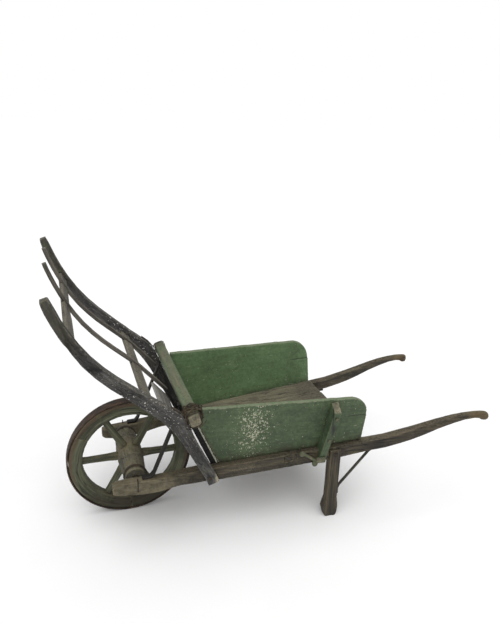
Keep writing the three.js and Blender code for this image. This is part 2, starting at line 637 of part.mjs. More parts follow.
addPiece("hub", hub(), "nave");
for (let n = 1; n <= SPOKE_COUNT; n++) addPiece(`spoke_${n}`, spoke(n), "rim");
for (let n = 1; n <= FELLOE_COUNT; n++) addPiece(`felloe_${n}`, felloe(n), "rim");
addPiece("tyre", tyre(), "iron");
addPiece("axle", axle(), "iron");

for (const [name, side] of [["left", LEFT], ["right", RIGHT]]) {
  addPiece(`hub_band_${name}`, hubBand(side), "iron");
  addPiece(`shaft_${name}`, shaft(side), "weathered");
  addPiece(`axle_keeper_${name}`, axleKeeper(side), "iron");
  addPiece(`leg_${name}`, leg(side), "weathered");
  addPiece(`leg_bolt_${name}`, legBolt(side), "iron");
  addPiece(`leg_stay_${name}`, legStay(side), "iron");
  addPiece(`rack_rail_${name}`, rackRail(side), "grey");
  addPiece(`rail_bolt_${name}`, railBolt(side), "iron");
  addPiece(`rack_brace_${name}`, rackBrace(side), "iron");
  addPiece(`crossbar_band_${name}`, crossbarBand(side), "iron");
  addPiece(`panel_upper_${name}`, panelPlank(side, "upper"), "green");
  addPiece(`panel_lower_${name}`, panelPlank(side, "lower"), "green");
  addPiece(`stake_${name}`, stake(side), "green");
  for (const [which, z] of STAKE_BOLTS) addPiece(`stake_bolt_${which}_${name}`, stakeBolt(side, z), "iron");
  addPiece(`stake_bracket_${name}`, stakeBracket(side), "iron");
}

addPiece("rack_lath_middle", lath(0), "grey");
addPiece("rack_lath_right", lath(RIGHT_LATH_W), "grey");
const laths = [lath(0, FIT), lath(RIGHT_LATH_W, FIT)];
addPiece("rack_rung_upper", cut(rung(RUNG_UPPER_Z), ...laths), "pale");
addPiece("rack_rung_lower", cut(rung(RUNG_LOWER_Z), ...laths), "pale");
addPiece("rack_short_board", cut(shortBoard(), ...laths, rackBrace(LEFT, FIT)), "pale");
addPiece("crossbar", crossbarBody(), "green");
const frontLower = frontPlank(FRONT_BOARD.foot, FRONT_BOARD.joint);
addPiece("front_board_lower", cut(frontLower, shaftBody(LEFT, FIT), shaftBody(RIGHT, FIT)), "dark");
const frontUpper = frontPlank(FRONT_BOARD.joint + FIT, FRONT_BOARD.top);
addPiece("front_board_upper", cut(frontUpper, crossbarBody(FIT)), "dark");
for (const [name, x, tenon] of CROSS_MEMBERS) {
  addPiece(`cross_member_${name}`, crossMember(x, tenon), "weathered");
}
for (let n = 1; n <= FLOOR.count; n++) addPiece(`floor_board_${n}`, floorBoard(n), "floor");

// stand the barrow on the ground with its middle over the origin
const box = new THREE.Box3().setFromObject(root);
root.position.set(-(box.min.x + box.max.x) / 2, -(box.min.y + box.max.y) / 2, -box.min.z);
root.updateMatrixWorld(true);

export default root;
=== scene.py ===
"""An old wooden farm wheelbarrow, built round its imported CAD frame.

Metres, in the CAD's own frame: X from the wheel to the handles, Y across, Z up. A visible piece is a worn copy of
a CAD node: an even mesh over the solid, rubbed round at its edges and, if it is wood, split along its grain. Two
things differ: the two planks of each side share one mesh, and the wire on the crossbar has no solid of its own.
"""
import itertools
import json
import math

import bpy
import numpy as np
from mathutils import Matrix, Vector


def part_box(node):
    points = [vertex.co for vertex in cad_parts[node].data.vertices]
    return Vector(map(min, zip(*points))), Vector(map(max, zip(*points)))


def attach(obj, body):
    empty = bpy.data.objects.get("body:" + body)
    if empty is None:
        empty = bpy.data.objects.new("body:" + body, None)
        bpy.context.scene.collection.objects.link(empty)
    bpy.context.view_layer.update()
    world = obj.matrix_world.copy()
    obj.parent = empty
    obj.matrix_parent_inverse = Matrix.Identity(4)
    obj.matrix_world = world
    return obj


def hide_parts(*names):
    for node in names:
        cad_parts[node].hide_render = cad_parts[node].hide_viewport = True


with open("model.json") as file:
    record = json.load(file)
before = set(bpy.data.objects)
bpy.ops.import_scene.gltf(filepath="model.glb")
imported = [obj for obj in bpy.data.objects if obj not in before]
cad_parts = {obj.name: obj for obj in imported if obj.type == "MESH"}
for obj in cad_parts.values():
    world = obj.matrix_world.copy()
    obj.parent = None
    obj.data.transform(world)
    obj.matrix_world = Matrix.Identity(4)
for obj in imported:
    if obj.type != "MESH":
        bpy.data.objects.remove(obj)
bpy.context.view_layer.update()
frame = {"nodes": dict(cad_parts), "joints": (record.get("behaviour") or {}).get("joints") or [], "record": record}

NODES = frame["nodes"]
RECORD = frame["record"]
BODY_OF = {node: body for body, nodes in RECORD["behaviour"]["bodies"].items() for node in nodes}
JOINTS = {joint["name"]: joint for joint in frame["joints"]}
WHEEL = np.array(JOINTS["wheel_spin"]["pos_m"])
SIDES = {"left": -1, "right": 1}
X, Y, Z = np.eye(3)
RIM_RADIUS = 0.23     # about the middle of the wooden rim
SPLIT_DEPTH = 0.0022  # depth of a split in the wood
FRONT_LEAN = 0.454    # how far the front board leans towards the wheel for each metre up
FLOOR_RISE = 0.0614   # how far the floor rises for each metre towards the handles
PLANK_FALL = 0.014    # how much lower the joint of a side's planks is at the front than at the rear


def srgb(red, green, blue):
    """A colour given in 0 to 255 display values, as the linear values that Blender works in."""
    values = [v / 255 for v in (red, green, blue)]
    return tuple(v / 12.92 if v <= 0.04045 else ((v + 0.055) / 1.055) ** 2.4 for v in values)


# ---------------------------------------------------------------- camera, floor and light
def make_camera():
    """A standing person's view, from the left and a little in front."""
    azimuth, pitch, roll = math.radians(-20.30), math.radians(16.71), math.radians(2.56)
    right = Vector((math.cos(azimuth), math.sin(azimuth), 0))
    ahead = Vector((-math.sin(azimuth) * math.cos(pitch), math.cos(azimuth) * math.cos(pitch), -math.sin(pitch)))
    up = right.cross(ahead)
    level = math.cos(roll) * right + math.sin(roll) * up
    high = -math.sin(roll) * right + math.cos(roll) * up
    data = bpy.data.cameras.new("camera")
    data.sensor_fit = "HORIZONTAL"
    data.sensor_width = 36
    data.lens = 42.48
    data.shift_x, data.shift_y = -0.0220, -0.0484
    camera = bpy.data.objects.new("camera", data)
    camera.matrix_world = Matrix((
        (level.x, high.x, -ahead.x, -0.8979), (level.y, high.y, -ahead.y, -2.2553),
        (level.z, high.z, -ahead.z, 1.6910), (0, 0, 0, 1)))
    bpy.context.scene.collection.objects.link(camera)
    bpy.context.scene.camera = camera


def make_light():
    """A white room that lights softly, one wide light overhead and a weak one from the camera's side."""
    scene = bpy.context.scene
    scene.view_settings.view_transform = "Standard"
    world = bpy.data.worlds.new("room")
    world.use_nodes = True
    background = world.node_tree.nodes["Background"]
    background.inputs["Color"].default_value = (1, 1, 1, 1)
    seen = world.node_tree.nodes.new("ShaderNodeLightPath").outputs["Is Camera Ray"]
    brightness = world.node_tree.nodes.new("ShaderNodeMapRange")
    brightness.inputs["To Min"].default_value = 0.5
    brightness.inputs["To Max"].default_value = 1.0
    world.node_tree.links.new(seen, brightness.inputs["Value"])
    world.node_tree.links.new(brightness.outputs["Result"], background.inputs["Strength"])
    scene.world = world
    for name, direction, strength, spread in [
        ("key", (0.16, 0.30, -1.0), 2.0, 75), ("fill", (0.25, 1.0, -0.35), 0.3, 80),
    ]:
        data = bpy.data.lights.new(name, "SUN")
        data.energy = strength
        data.angle = math.radians(spread)
        lamp = bpy.data.objects.new(name, data)
        lamp.rotation_mode = "QUATERNION"
        lamp.rotation_quaternion = Vector(direction).to_track_quat("-Z", "Y")
        scene.collection.objects.link(lamp)


# ---------------------------------------------------------------- noise and mesh arrays
def noise(points, seed=0):
    """Smooth random values from -1 to 1, one cell to a unit."""
    cell = np.floor(points).astype(np.int64)
    part = points - cell
    part = part * part * (3 - 2 * part)
    total = np.zeros(len(points))
    for corner in itertools.product((0, 1), repeat=3):
        at = cell + corner
        mixed = (at[:, 0] * 73856093) ^ (at[:, 1] * 19349663) ^ (at[:, 2] * 83492791) ^ (seed * 2654435761)
        mixed = ((mixed ^ (mixed >> 13)) * 1274126177) & 0xFFFFFFFF
        value = ((mixed ^ (mixed >> 16)) & 0xFFFF) / 32767.5 - 1
        total += value * np.prod(np.where(corner, part, 1 - part), axis=1)
    return total


def fractal(points, octaves=3, seed=0):
    """Noise with finer noise added, each octave half as large and half as strong, still from -1 to 1."""
    return sum(noise(points * 2 ** k, seed + k) / 2 ** k for k in range(octaves)) / (2 - 0.5 ** (octaves - 1))


def step(low, high, value):
    """0 below low, 1 above high and smooth between."""
    t = np.clip((value - low) / (high - low), 0, 1)
    return t * t * (3 - 2 * t)


def points_of(mesh):
    co = np.empty(len(mesh.vertices) * 3, np.float32)
    mesh.vertices.foreach_get("co", co)
    return co.reshape(-1, 3).astype(float)


def normals_of(mesh):
    normals = np.empty(len(mesh.vertices) * 3, np.float32)
    mesh.vertices.foreach_get("normal", normals)
    return normals.reshape(-1, 3).astype(float)


def edges_of(mesh):
    edges = np.empty(len(mesh.edges) * 2, np.int32)
    mesh.edges.foreach_get("vertices", edges)
    return edges.reshape(-1, 2)


def relaxed(co, edges, rounds):
    """The points after each has moved to the middle of its neighbours, so many times."""
    a, b = edges.T
    count = np.maximum(np.bincount(edges.ravel(), minlength=len(co)), 1)[:, None]
    for _ in range(rounds):
        co = np.stack([np.bincount(a, co[b, k], len(co)) + np.bincount(b, co[a, k], len(co)) for k in range(3)],
                      axis=1) / count
    return co


def store(mesh, name, values):
    """Keeps a value, or a vector, for each point of a mesh, for its material to read."""
    vector = values.ndim == 2
    field = mesh.attributes.new(name, "FLOAT_VECTOR" if vector else "FLOAT", "POINT")
    field.data.foreach_set("vector" if vector else "value", values.astype(np.float32).ravel())


def seed_of(name):
    """A seed that a name always gives."""
    return sum((i + 1) * ord(letter) for i, letter in enumerate(name)) % 9973


def even_mesh(nodes, voxel, close=0.0):
    """A mesh of even faces over one CAD node, or over several stacked ones let down by `close` to meet."""
    blank = bpy.data.objects.new("blank", bpy.data.meshes.new("blank"))
    bpy.context.scene.collection.objects.link(blank)
    points, faces = [], []
    for place, node in enumerate(nodes):
        source = NODES[node].data
        first = len(points)
        points += [vertex.co - Vector((0, 0, place * close)) for vertex in source.vertices]
        faces += [[first + corner for corner in polygon.vertices] for polygon in source.polygons]
    blank.data.from_pydata(points, [], faces)
    remesh = blank.modifiers.new("even", "REMESH")
    remesh.mode = "VOXEL"
    remesh.voxel_size = voxel
    mesh = bpy.data.meshes.new_from_object(blank.evaluated_get(bpy.context.evaluated_depsgraph_get()))
    bpy.data.objects.remove(blank)
    return mesh


def tube(path, radius, sides=7):
    """A closed round tube along a path of points, as points and faces."""
    path = np.array(path, float)
    along = np.gradient(path, axis=0)
    along /= np.linalg.norm(along, axis=1)[:, None]
    across = np.cross(along, (0.31, 0.87, 0.39))
    across /= np.linalg.norm(across, axis=1)[:, None]
    beside = np.cross(along, across)
    points = []
    for place, a, b in zip(path, across, beside):
        for k in range(sides):
            angle = 2 * math.pi * k / sides
            points.append(place + radius * (math.cos(angle) * a + math.sin(angle) * b))
    faces = [tuple(reversed(range(sides))), tuple(len(points) - sides + k for k in range(sides))]
    for i in range(len(path) - 1):
        for k in range(sides):
            here, there = i * sides + k, i * sides + (k + 1) % sides
            faces.append((here, there, there + sides, here + sides))
    return points, faces


# ---------------------------------------------------------------- which way the wood runs
def straight(along, across):
    """Grain of a straight piece: metres along it, across it and through it, and its direction."""
    along = np.array(along, float) / np.linalg.norm(along)
    across = np.array(across, float) / np.linalg.norm(across)
    axes = np.stack([along, across, np.cross(along, across)], axis=1)
    return lambda co: (co @ axes, np.tile(along, (len(co), 1)))


def curved(co, bins=48):
    """Grain of a rack rail or lath, which follows its own curve in X and Z."""
    edges = np.linspace(co[:, 2].min(), co[:, 2].max(), bins + 1)
    place = np.clip(np.digitize(co[:, 2], edges) - 1, 0, bins - 1)
    used = np.unique(place)
    xs = np.array([co[place == k, 0].mean() for k in used])
    zs = np.array([co[place == k, 2].mean() for k in used])
    length = np.concatenate([[0], np.cumsum(np.hypot(np.diff(xs), np.diff(zs)))])
    slope = np.gradient(xs, zs)
    off = co[:, 0] - np.interp(co[:, 2], zs, xs)
    lean = np.interp(co[:, 2], zs, slope)
    scale = np.hypot(lean, 1)
    direction = np.stack([lean / scale, np.zeros(len(co)), 1 / scale], axis=1)
    grain = np.stack([np.interp(co[:, 2], zs, length) + off * lean / scale, off / scale, co[:, 1]], axis=1)
    return grain, direction


def round_wheel(co):
    """Grain of a felloe: along the rim, out from the axle and across."""
    offset = co - WHEEL
    middle = offset.mean(axis=0)
    out, tangent = middle / np.linalg.norm(middle), np.cross(Y, middle / np.linalg.norm(middle))
    radius = np.hypot(offset[:, 0], offset[:, 2])
    angle = np.arctan2(offset @ tangent, offset @ out)
    unit = np.stack([offset[:, 0], np.zeros(len(co)), offset[:, 2]], axis=1) / radius[:, None]
    return np.stack([angle * RIM_RADIUS, radius, offset[:, 1]], axis=1), np.cross(Y, unit)


def spoke_grain(co):
    """Grain of a spoke, straight out from the axle."""
    out = co.mean(axis=0) - WHEEL
    return straight(out, np.cross(Y, out))(co)


# ---------------------------------------------------------------- worn copies of the CAD's solids
def piece_from(mesh, name, nodes, material):
    """Makes a mesh a visible piece that stands for one or more CAD nodes."""
    mesh.materials.clear()
    mesh.materials.append(material)
    mesh.polygons.foreach_set("use_smooth", [True] * len(mesh.polygons))
    piece = bpy.data.objects.new(name, mesh)
    bpy.context.scene.collection.objects.link(piece)
    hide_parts(*nodes)
    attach(piece, BODY_OF[nodes[0]])
    return piece


def worn(nodes, material, grain, voxel=0.0035, rub=0.55, uneven=0.0009, splits=True, masks=None, crack_at=None,
         lumps=(), close=0.0):
    """A wooden piece: edges rubbed round, faces dried a little hollow, and splits that follow the grain.

    `crack_at` adds cracks at places of their own, `lumps` are (centre, reach, height), and `masks` are shares that
    the material reads by name.
    """
    nodes = (nodes,) if isinstance(nodes, str) else nodes
    mesh = even_mesh(nodes, voxel, close)
    co, edges, seed = points_of(mesh), edges_of(mesh), seed_of(nodes[0])
    normals = normals_of(mesh)
    run, direction = grain(co)
    own = run + np.random.default_rng(seed).uniform(-5, 5, 3)
    soft = relaxed(co, edges, 3)
    convex = -np.einsum("ij,ij->i", soft - co, normals) / (0.55 * voxel)
    end = step(0.6, 0.85, np.abs(np.einsum("ij,ij->i", direction, normals)))
    chewed = 0.55 + 0.45 * fractal(own * (14, 30, 30), 2, seed)
    moved = co + (soft - co) * (rub * chewed)[:, None]
    dips = 0.5 + 0.5 * fractal(own * (3.5, 16, 16), 3, seed + 5)
    ridge = np.abs(noise(own * (2.1, 24, 24), seed + 9))
    some = step(0.0, 0.35, noise(own * (2.6, 5, 5), seed + 12)) * (1 - end)
    crack = step(0.09, 0.0, ridge) * some * splits
    if crack_at:
        crack = np.maximum(crack, crack_at(co))
    depth = uneven * dips + SPLIT_DEPTH * crack
    for centre, reach, height in lumps:
        near = np.exp(-(((co - np.array(centre)) / reach) ** 2).sum(axis=1))
        depth = depth - height * near * (0.75 + 0.5 * fractal(co * 160, 2, seed))
    moved -= normals * depth[:, None]
    mesh.vertices.foreach_set("co", moved.astype(np.float32).ravel())
    mesh.update()
    store(mesh, "grain", own)
    store(mesh, "edge", np.clip(convex, -1, 1))
    store(mesh, "crack", crack)
    store(mesh, "end", end)
    for name, mask in (masks or {}).items():
        store(mesh, name, mask(co, normals))
    return piece_from(mesh, f"{nodes[0]}_wood", nodes, material)


def forged(node, material, voxel=0.0014, rub=0.8, pitted=0.0005):
    """An iron piece: soft hammered edges and a pitted skin."""
    mesh = even_mesh((node,), voxel)
    co, edges, seed = points_of(mesh), edges_of(mesh), seed_of(node)
    normals = normals_of(mesh)
    soft = relaxed(co, edges, 4)
    convex = -np.einsum("ij,ij->i", soft - co, normals) / (0.8 * voxel)
    moved = co + (soft - co) * rub
    moved -= normals * (pitted * (0.5 + 0.5 * fractal(co * 90, 3, seed)))[:, None]
    mesh.vertices.foreach_set("co", moved.astype(np.float32).ravel())
    mesh.update()
    store(mesh, "edge", np.clip(convex, -1, 1))
    return piece_from(mesh, f"{node}_iron", (node,), material)


# ---------------------------------------------------------------- materials
class Look:
    """A procedural material, written as nested calls that return sockets."""

    def __init__(self, name):
        self.material = bpy.data.materials.new(name)
        self.material.use_nodes = True
        self.tree = self.material.node_tree
        self.tree.nodes.clear()
        self.surface = self.node("ShaderNodeBsdfPrincipled")
        output = self.node("ShaderNodeOutputMaterial")
        self.tree.links.new(self.surface.outputs[0], output.inputs["Surface"])
        self.place = self.node("ShaderNodeTexCoord").outputs["Object"]

    def node(self, kind, **settings):
        made = self.tree.nodes.new(kind)
        for key, value in settings.items():
            setattr(made, key, value)
        return made

    def put(self, socket, value):
        if isinstance(value, bpy.types.NodeSocket):
            self.tree.links.new(value, socket)
        elif isinstance(value, tuple) and len(socket.default_value) == 4:
            socket.default_value = (*value, 1)
        else:
            socket.default_value = value

    def read(self, name, kind="Fac"):
        return self.node("ShaderNodeAttribute", attribute_name=name).outputs[kind]

    def maths(self, operation, a, b=0.0):
        made = self.node("ShaderNodeMath", operation=operation)
        self.put(made.inputs[0], a)
        self.put(made.inputs[1], b)
        return made.outputs[0]

    def stretch(self, vector, by):
        made = self.node("ShaderNodeVectorMath", operation="MULTIPLY")
        self.put(made.inputs[0], vector)
        made.inputs[1].default_value = by
        return made.outputs[0]

    def noise(self, vector, scale=1.0, detail=4.0, rough=0.55, twist=0.0):
        made = self.node("ShaderNodeTexNoise")
        self.put(made.inputs["Vector"], vector)
        made.inputs["Scale"].default_value = scale
        made.inputs["Detail"].default_value = detail
        made.inputs["Roughness"].default_value = rough
        made.inputs["Distortion"].default_value = twist
        return made.outputs["Fac"]

    def level(self, value, low, high, to_low=0.0, to_high=1.0):
        made = self.node("ShaderNodeMapRange", interpolation_type="SMOOTHSTEP")
        self.put(made.inputs["Value"], value)
        for name, number in (("From Min", low), ("From Max", high), ("To Min", to_low), ("To Max", to_high)):
            made.inputs[name].default_value = number
        return made.outputs["Result"]

    def mix(self, share, a, b, blend="MIX"):
        made = self.node("ShaderNodeMix", data_type="RGBA", blend_type=blend)
        self.put(made.inputs[0], share)
        self.put(made.inputs[6], a)
        self.put(made.inputs[7], b)
        return made.outputs[2]

    def ramp(self, value, *stops):
        made = self.node("ShaderNodeValToRGB")
        self.put(made.inputs[0], value)
        elements = made.color_ramp.elements
        while len(elements) < len(stops):
            elements.new(0.5)
        for element, (at, colour) in zip(elements, stops):
            element.position = at
            element.color = (*colour, 1)
        return made.outputs["Color"]

    def up(self):
        """How much a place faces the sky, from 0 to 1."""
        split = self.node("ShaderNodeSeparateXYZ")
        self.put(split.inputs[0], self.node("ShaderNodeNewGeometry").outputs["Normal"])
        return self.level(split.outputs["Z"], 0.2, 0.95)

    def done(self, colour, roughness, height, depth, metal=0.0):
        bump = self.node("ShaderNodeBump")
        bump.inputs["Strength"].default_value = 1.0
        bump.inputs["Distance"].default_value = depth
        self.put(bump.inputs["Height"], height)
        self.put(self.surface.inputs["Base Color"], colour)
        self.put(self.surface.inputs["Roughness"], roughness)
        self.put(self.surface.inputs["Metallic"], metal)
        self.put(self.surface.inputs["Normal"], bump.outputs["Normal"])
        return self.material


def wood_layers(look, dark, middle, light):
    """Colour and height of bare weathered wood: growth bands, fibres, fine splits and sooty hollows."""
    grain = look.read("grain", "Vector")
    bands = look.noise(look.stretch(grain, (2.2, 34, 34)), detail=5, rough=0.6, twist=0.4)
    fibres = look.noise(look.stretch(grain, (14, 420, 420)), detail=4, rough=0.7)
    streaks = look.noise(look.stretch(grain, (6, 120, 120)), detail=3, rough=0.6)
    thin = look.maths("ADD", look.maths("MULTIPLY", fibres, 0.28), look.maths("MULTIPLY", streaks, 0.32))
    tone = look.maths("ADD", look.maths("MULTIPLY", bands, 0.4), thin)
    colour = look.ramp(tone, (0.39, dark), (0.5, middle), (0.61, light))
    waves = look.noise(look.stretch(grain, (3.2, 75, 75)), detail=2)
    line = look.maths("ABSOLUTE", look.maths("SUBTRACT", waves, 0.5))
    where = look.level(look.noise(look.stretch(grain, (4, 12, 12)), detail=2), 0.47, 0.56)
    fine = look.maths("MULTIPLY", look.level(line, 0.022, 0.004), where)
    split = look.maths("MAXIMUM", fine, look.read("crack"))
    colour = look.mix(look.maths("MULTIPLY", split, 0.8), colour, tuple(v * 0.22 for v in dark))
    ridges = look.maths("ADD", look.maths("MULTIPLY", fibres, 0.35), look.maths("MULTIPLY", streaks, 0.5))
    height = look.maths("SUBTRACT", ridges, look.maths("MULTIPLY", fine, 0.9))
    return colour, height, split


def weather_and_shade(look, colour, soot_and_shade, dust, dust_share):
    """Dirt in blotches, painted shade in the hollows, and pale dust where the sky reaches."""
    blotch = look.noise(look.place, 9, 6, 0.66)
    # Painted shade: places that curve inwards are darkened with the dirt colour.
    hollow = look.level(look.read("edge"), -0.1, -0.6)
    dirt_and_shade = look.maths("MAXIMUM", look.level(blotch, 0.5, 0.68, 0.0, 0.6), hollow)
    colour = look.mix(look.maths("MULTIPLY", dirt_and_shade, 0.75), colour, soot_and_shade)
    speck = look.level(look.noise(look.place, 130, 4, 0.65), 0.36, 0.58)
    share = look.maths("MULTIPLY", look.maths("MULTIPLY", look.up(), speck), dust_share)
    return look.mix(share, colour, dust)


def bare_wood(name, dark, middle, light, edge, dust_share=0.6, dust=None, moss=0.0, marks=(), specks=False):
    """Wood without its finish, with stains broken up by noise and, if `specks`, white drops of paint.

    `marks` are (mask, colour, strength) or (mask, colour, strength, scale of the noise).
    """
    look = Look(name)
    colour, height, split = wood_layers(look, dark, middle, light)
    colour = look.mix(look.maths("MULTIPLY", look.read("end"), 0.4), colour, tuple(v * 0.7 for v in middle))
    for mask, stain, strength, *scale in marks:
        broken = look.noise(look.place, scale[0] if scale else 34, 6, 0.68)
        reach = look.level(look.maths("ADD", look.read(mask), look.maths("MULTIPLY", broken, 0.8)), 0.6, 1.15)
        colour = look.mix(look.maths("MULTIPLY", reach, strength), colour, stain)
    colour = weather_and_shade(look, colour, tuple(v * 0.4 for v in dark), dust or edge, dust_share)
    # Paler convex edges: rubbed wear, and in part a painted highlight along the edges.
    rubbed = look.maths("MULTIPLY", look.level(look.read("edge"), 0.2, 0.8),
                        look.level(look.noise(look.place, 60, 5, 0.6), 0.4, 0.58))
    colour = look.mix(look.maths("MULTIPLY", rubbed, 0.8), colour, edge)
    if moss:
        green = look.level(look.noise(look.place, 22, 7, 0.72), 0.62 - 0.2 * moss, 0.8 - 0.2 * moss)
        colour = look.mix(look.maths("MULTIPLY", green, 0.65), colour, srgb(82, 84, 52))
    if specks:
        drops = look.level(look.noise(look.place, 150, 1.5), 0.655, 0.69)
        colour = look.mix(look.maths("MULTIPLY", drops, look.read("specks")), colour, srgb(198, 196, 190))
    rough = look.level(split, 0, 1, 0.8, 0.95)
    return look.done(colour, rough, height, 0.0026)


def painted_wood(name, paint, faded, under, chip_colour, pale_edge, dust_share=0.35, wear=0.5, streaky=0.0):
    """Old oil paint over wood: fine mottled tone, a chalk-grey outer side that is partly weathering and partly
    painted shade, chips, and rubbed pale edges.
    """
    look = Look(name)
    wood, height, _ = wood_layers(look, srgb(70, 64, 50), srgb(104, 97, 78), srgb(140, 132, 108))
    grain = look.read("grain", "Vector")
    mottle = look.noise(look.place, 70, 6, 0.7)
    cloud = look.noise(look.place, 7, 5, 0.6)
    brushed = look.noise(look.stretch(grain, (7, 90, 90)), detail=4, rough=0.65)
    tone = look.maths("ADD", look.maths("MULTIPLY", mottle, 0.45), look.maths("ADD",
                      look.maths("MULTIPLY", cloud, 0.33), look.maths("MULTIPLY", brushed, 0.22)))
    colour = look.ramp(tone, (0.38, tuple(v * 0.64 for v in paint)), (0.5, paint), (0.63, faded))
    if streaky:
        bare = look.level(look.noise(look.stretch(grain, (5, 60, 60)), detail=4, rough=0.6), 0.5, 0.62)
        colour = look.mix(look.maths("MULTIPLY", bare, 0.75 * streaky), colour, wood)
    # The faces that look away from the load get a greyer, darker tone: partly chalk-like weathering, partly
    # painted shade, since those faces look slightly down.
    chalky_and_shaded = look.mix(look.level(tone, 0.41, 0.59), tuple(v * 0.56 for v in under), tuple(v * 1.42 for v in under))
    colour = look.mix(look.maths("MULTIPLY", look.read("weathered"), 0.8), colour, chalky_and_shaded)
    grime = look.maths("MULTIPLY", look.read("grime"), look.level(look.noise(look.place, 24, 6, 0.7), 0.3, 0.62))
    colour = look.mix(look.maths("MULTIPLY", grime, 0.8), colour, srgb(52, 46, 32))
    colour = weather_and_shade(look, colour, tuple(v * 0.4 for v in paint), pale_edge, dust_share)
    flakes = look.noise(look.stretch(look.place, (210, 210, 140)), detail=2.5, rough=0.6)
    spatter = look.noise(look.place, 75, 2, 0.5)
    chance = look.maths("ADD", look.maths("MULTIPLY", flakes, 0.68), look.maths("MULTIPLY", spatter, 0.32))
    chance = look.maths("ADD", chance, look.maths("MULTIPLY", look.read("chipped"), 0.13))
    chips = look.level(chance, 0.65, 0.665)
    colour = look.mix(look.maths("MULTIPLY", chips, 0.85), colour, chip_colour)
    ragged = look.level(look.noise(look.place, 75, 6, 0.68), 0.6 - 0.24 * wear, 0.68 - 0.24 * wear)
    rubbed = look.maths("MULTIPLY", look.level(look.read("edge"), 0.25, 0.6), ragged)
    colour = look.mix(look.maths("MULTIPLY", rubbed, 0.75), colour, pale_edge)
    colour = look.mix(look.maths("MULTIPLY", look.read("end"), 0.85), colour, wood)
    colour = look.mix(look.maths("MULTIPLY", look.read("crack"), 0.9), colour, srgb(18, 19, 14))
    rough = look.maths("ADD", look.level(chips, 0, 1, 0.58, 0.85), look.maths("MULTIPLY", cloud, 0.2))
    scratches = look.noise(look.stretch(grain, (24, 240, 240)), detail=2)
    rubs = look.maths("MULTIPLY", look.level(scratches, 0.66, 0.72),
                      look.level(look.noise(look.place, 14, 3), 0.5, 0.62))
    colour = look.mix(look.maths("MULTIPLY", rubs, 0.4), colour, chip_colour)
    bumps = look.maths("ADD", look.maths("MULTIPLY", height, 0.3), look.maths("MULTIPLY", mottle, 0.2))
    skin = look.maths("SUBTRACT", bumps, look.maths("MULTIPLY", chips, 0.3))
    return look.done(colour, rough, skin, 0.0014)


def rusty_iron(name, dark, rust, bright, green=0.0):
    """Wrought iron with an even brown rust, pitted, with orange blooms and rubbed darker edges."""
    look = Look(name)
    cloud = look.noise(look.place, 30, 6, 0.65)
    grit = look.noise(look.place, 320, 5, 0.6)
    tone = look.maths("ADD", look.maths("MULTIPLY", cloud, 0.6), look.maths("MULTIPLY", grit, 0.4))
    colour = look.ramp(tone, (0.38, dark), (0.52, rust), (0.66, bright))
    rubbed = look.maths("MULTIPLY", look.level(look.read("edge"), 0.3, 0.9), look.level(cloud, 0.4, 0.6))
    colour = look.mix(look.maths("MULTIPLY", rubbed, 0.4), colour, tuple(min(1, v * 1.5) for v in bright))
    if green:
        paint = look.level(look.noise(look.place, 80, 6, 0.65), 0.56 - 0.2 * green, 0.66 - 0.2 * green)
        colour = look.mix(paint, colour, srgb(84, 92, 66))
    metal = look.level(grit, 0.35, 0.6, 0.4, 0.1)
    return look.done(colour, look.level(grit, 0.3, 0.7, 0.62, 0.92), tone, 0.0018, metal)


# ---------------------------------------------------------------- the pieces
def place_mask(centre, reach):
    """A share that is 1 near a place and fades to 0 over its reach along X, Y and Z."""
    centre, reach = np.array(centre), np.array(reach)
    return lambda co, normals: np.exp(-(((co - centre) / reach) ** 2).sum(axis=1))


def above(height, fade, axis=2):
    """A share that rises from 0 to 1 over `fade` metres above a height along an axis."""
    return lambda co, normals: step(height - fade / 2, height + fade / 2, co[:, axis])


def below(height, fade):
    """A share that falls from 1 to 0 over `fade` metres up to above a height."""
    return lambda co, normals: 1 - step(height - fade / 2, height + fade / 2, co[:, 2])


def none(co, normals):
    return np.zeros(len(co))


def wheel_end_dust(co, normals):
    """Dust on a shaft's wheel end."""
    return 0.52 * step(-0.3, -0.5, co[:, 0])


def shaft_flakes(sign):
    """Pale flakes on the outside of a shaft, under the front half of the side."""
    near = place_mask((-0.2, sign * 0.31, 0.285), (0.14, 0.1, 0.03))
    return lambda co, normals: 0.33 * near(co, normals)


def painted_highlight_share(low, high):
    """A painted highlight: a pale line along the rear edge of a front board's two ends, next to the sides."""
    def share(co, normals):
        from_back = high.x - FRONT_LEAN * (co[:, 2] - low.z) - co[:, 0]
        return 1.3 * step(0.0085, 0.006, from_back) * step(0.2, 0.6, np.abs(normals[:, 1]))
    return share


def outer_face(sign):
    """The face of a side that looks away from the load."""
    return lambda co, normals: step(0.2, 0.8, normals[:, 1] * sign)


def plank_joint(low, high):
    """The crack where a side's two planks meet, open at the rear end and nearly closed in front of it."""
    def share(co):
        joint = high.z - PLANK_FALL * (high.x - co[:, 0]) / (high.x - low.x)
        near = step(0.0028, 0.0008, np.abs(co[:, 2] - joint - 0.0015 * noise(co * 60)))
        return near * (0.12 + 0.88 * step(0.2, 0.26, co[:, 0]))
    return share


def floor_grime(low):
    """Dirt on the lowest 5 cm of a side, along the floor."""
    return lambda co, normals: 1 - step(0.0, 0.05, co[:, 2] - (low.z + FLOOR_RISE * (co[:, 0] - low.x)))


def chipped_patch(sign, facing):
    """A patch of chipped paint on the outer face of a side."""
    patch = place_mask((-0.17, sign * 0.31, 0.46), (0.075, 0.12, 0.2))
    return lambda co, normals: patch(co, normals) * facing(co, normals)


def bar_end_grime(co, normals):
    """Dirt on the outer ends of the crossbar."""
    return step(0.25, 0.33, np.abs(co[:, 1]))


def rim_rust(co, normals):
    """Rust from the tyre on the wooden rim, least where it stands on the ground."""
    radius = np.hypot(co[:, 0] - WHEEL[0], co[:, 2] - WHEEL[2])
    return 1.1 * step(0.222, 0.252, radius) * step(0.06, 0.3, co[:, 2])


def hub_bands(co, normals):
    """A greyer ring on each half of the hub, between the spokes and its iron band."""
    off = np.abs(co[:, 1])
    return step(0.06, 0.08, off) * (1 - step(0.1, 0.12, off))


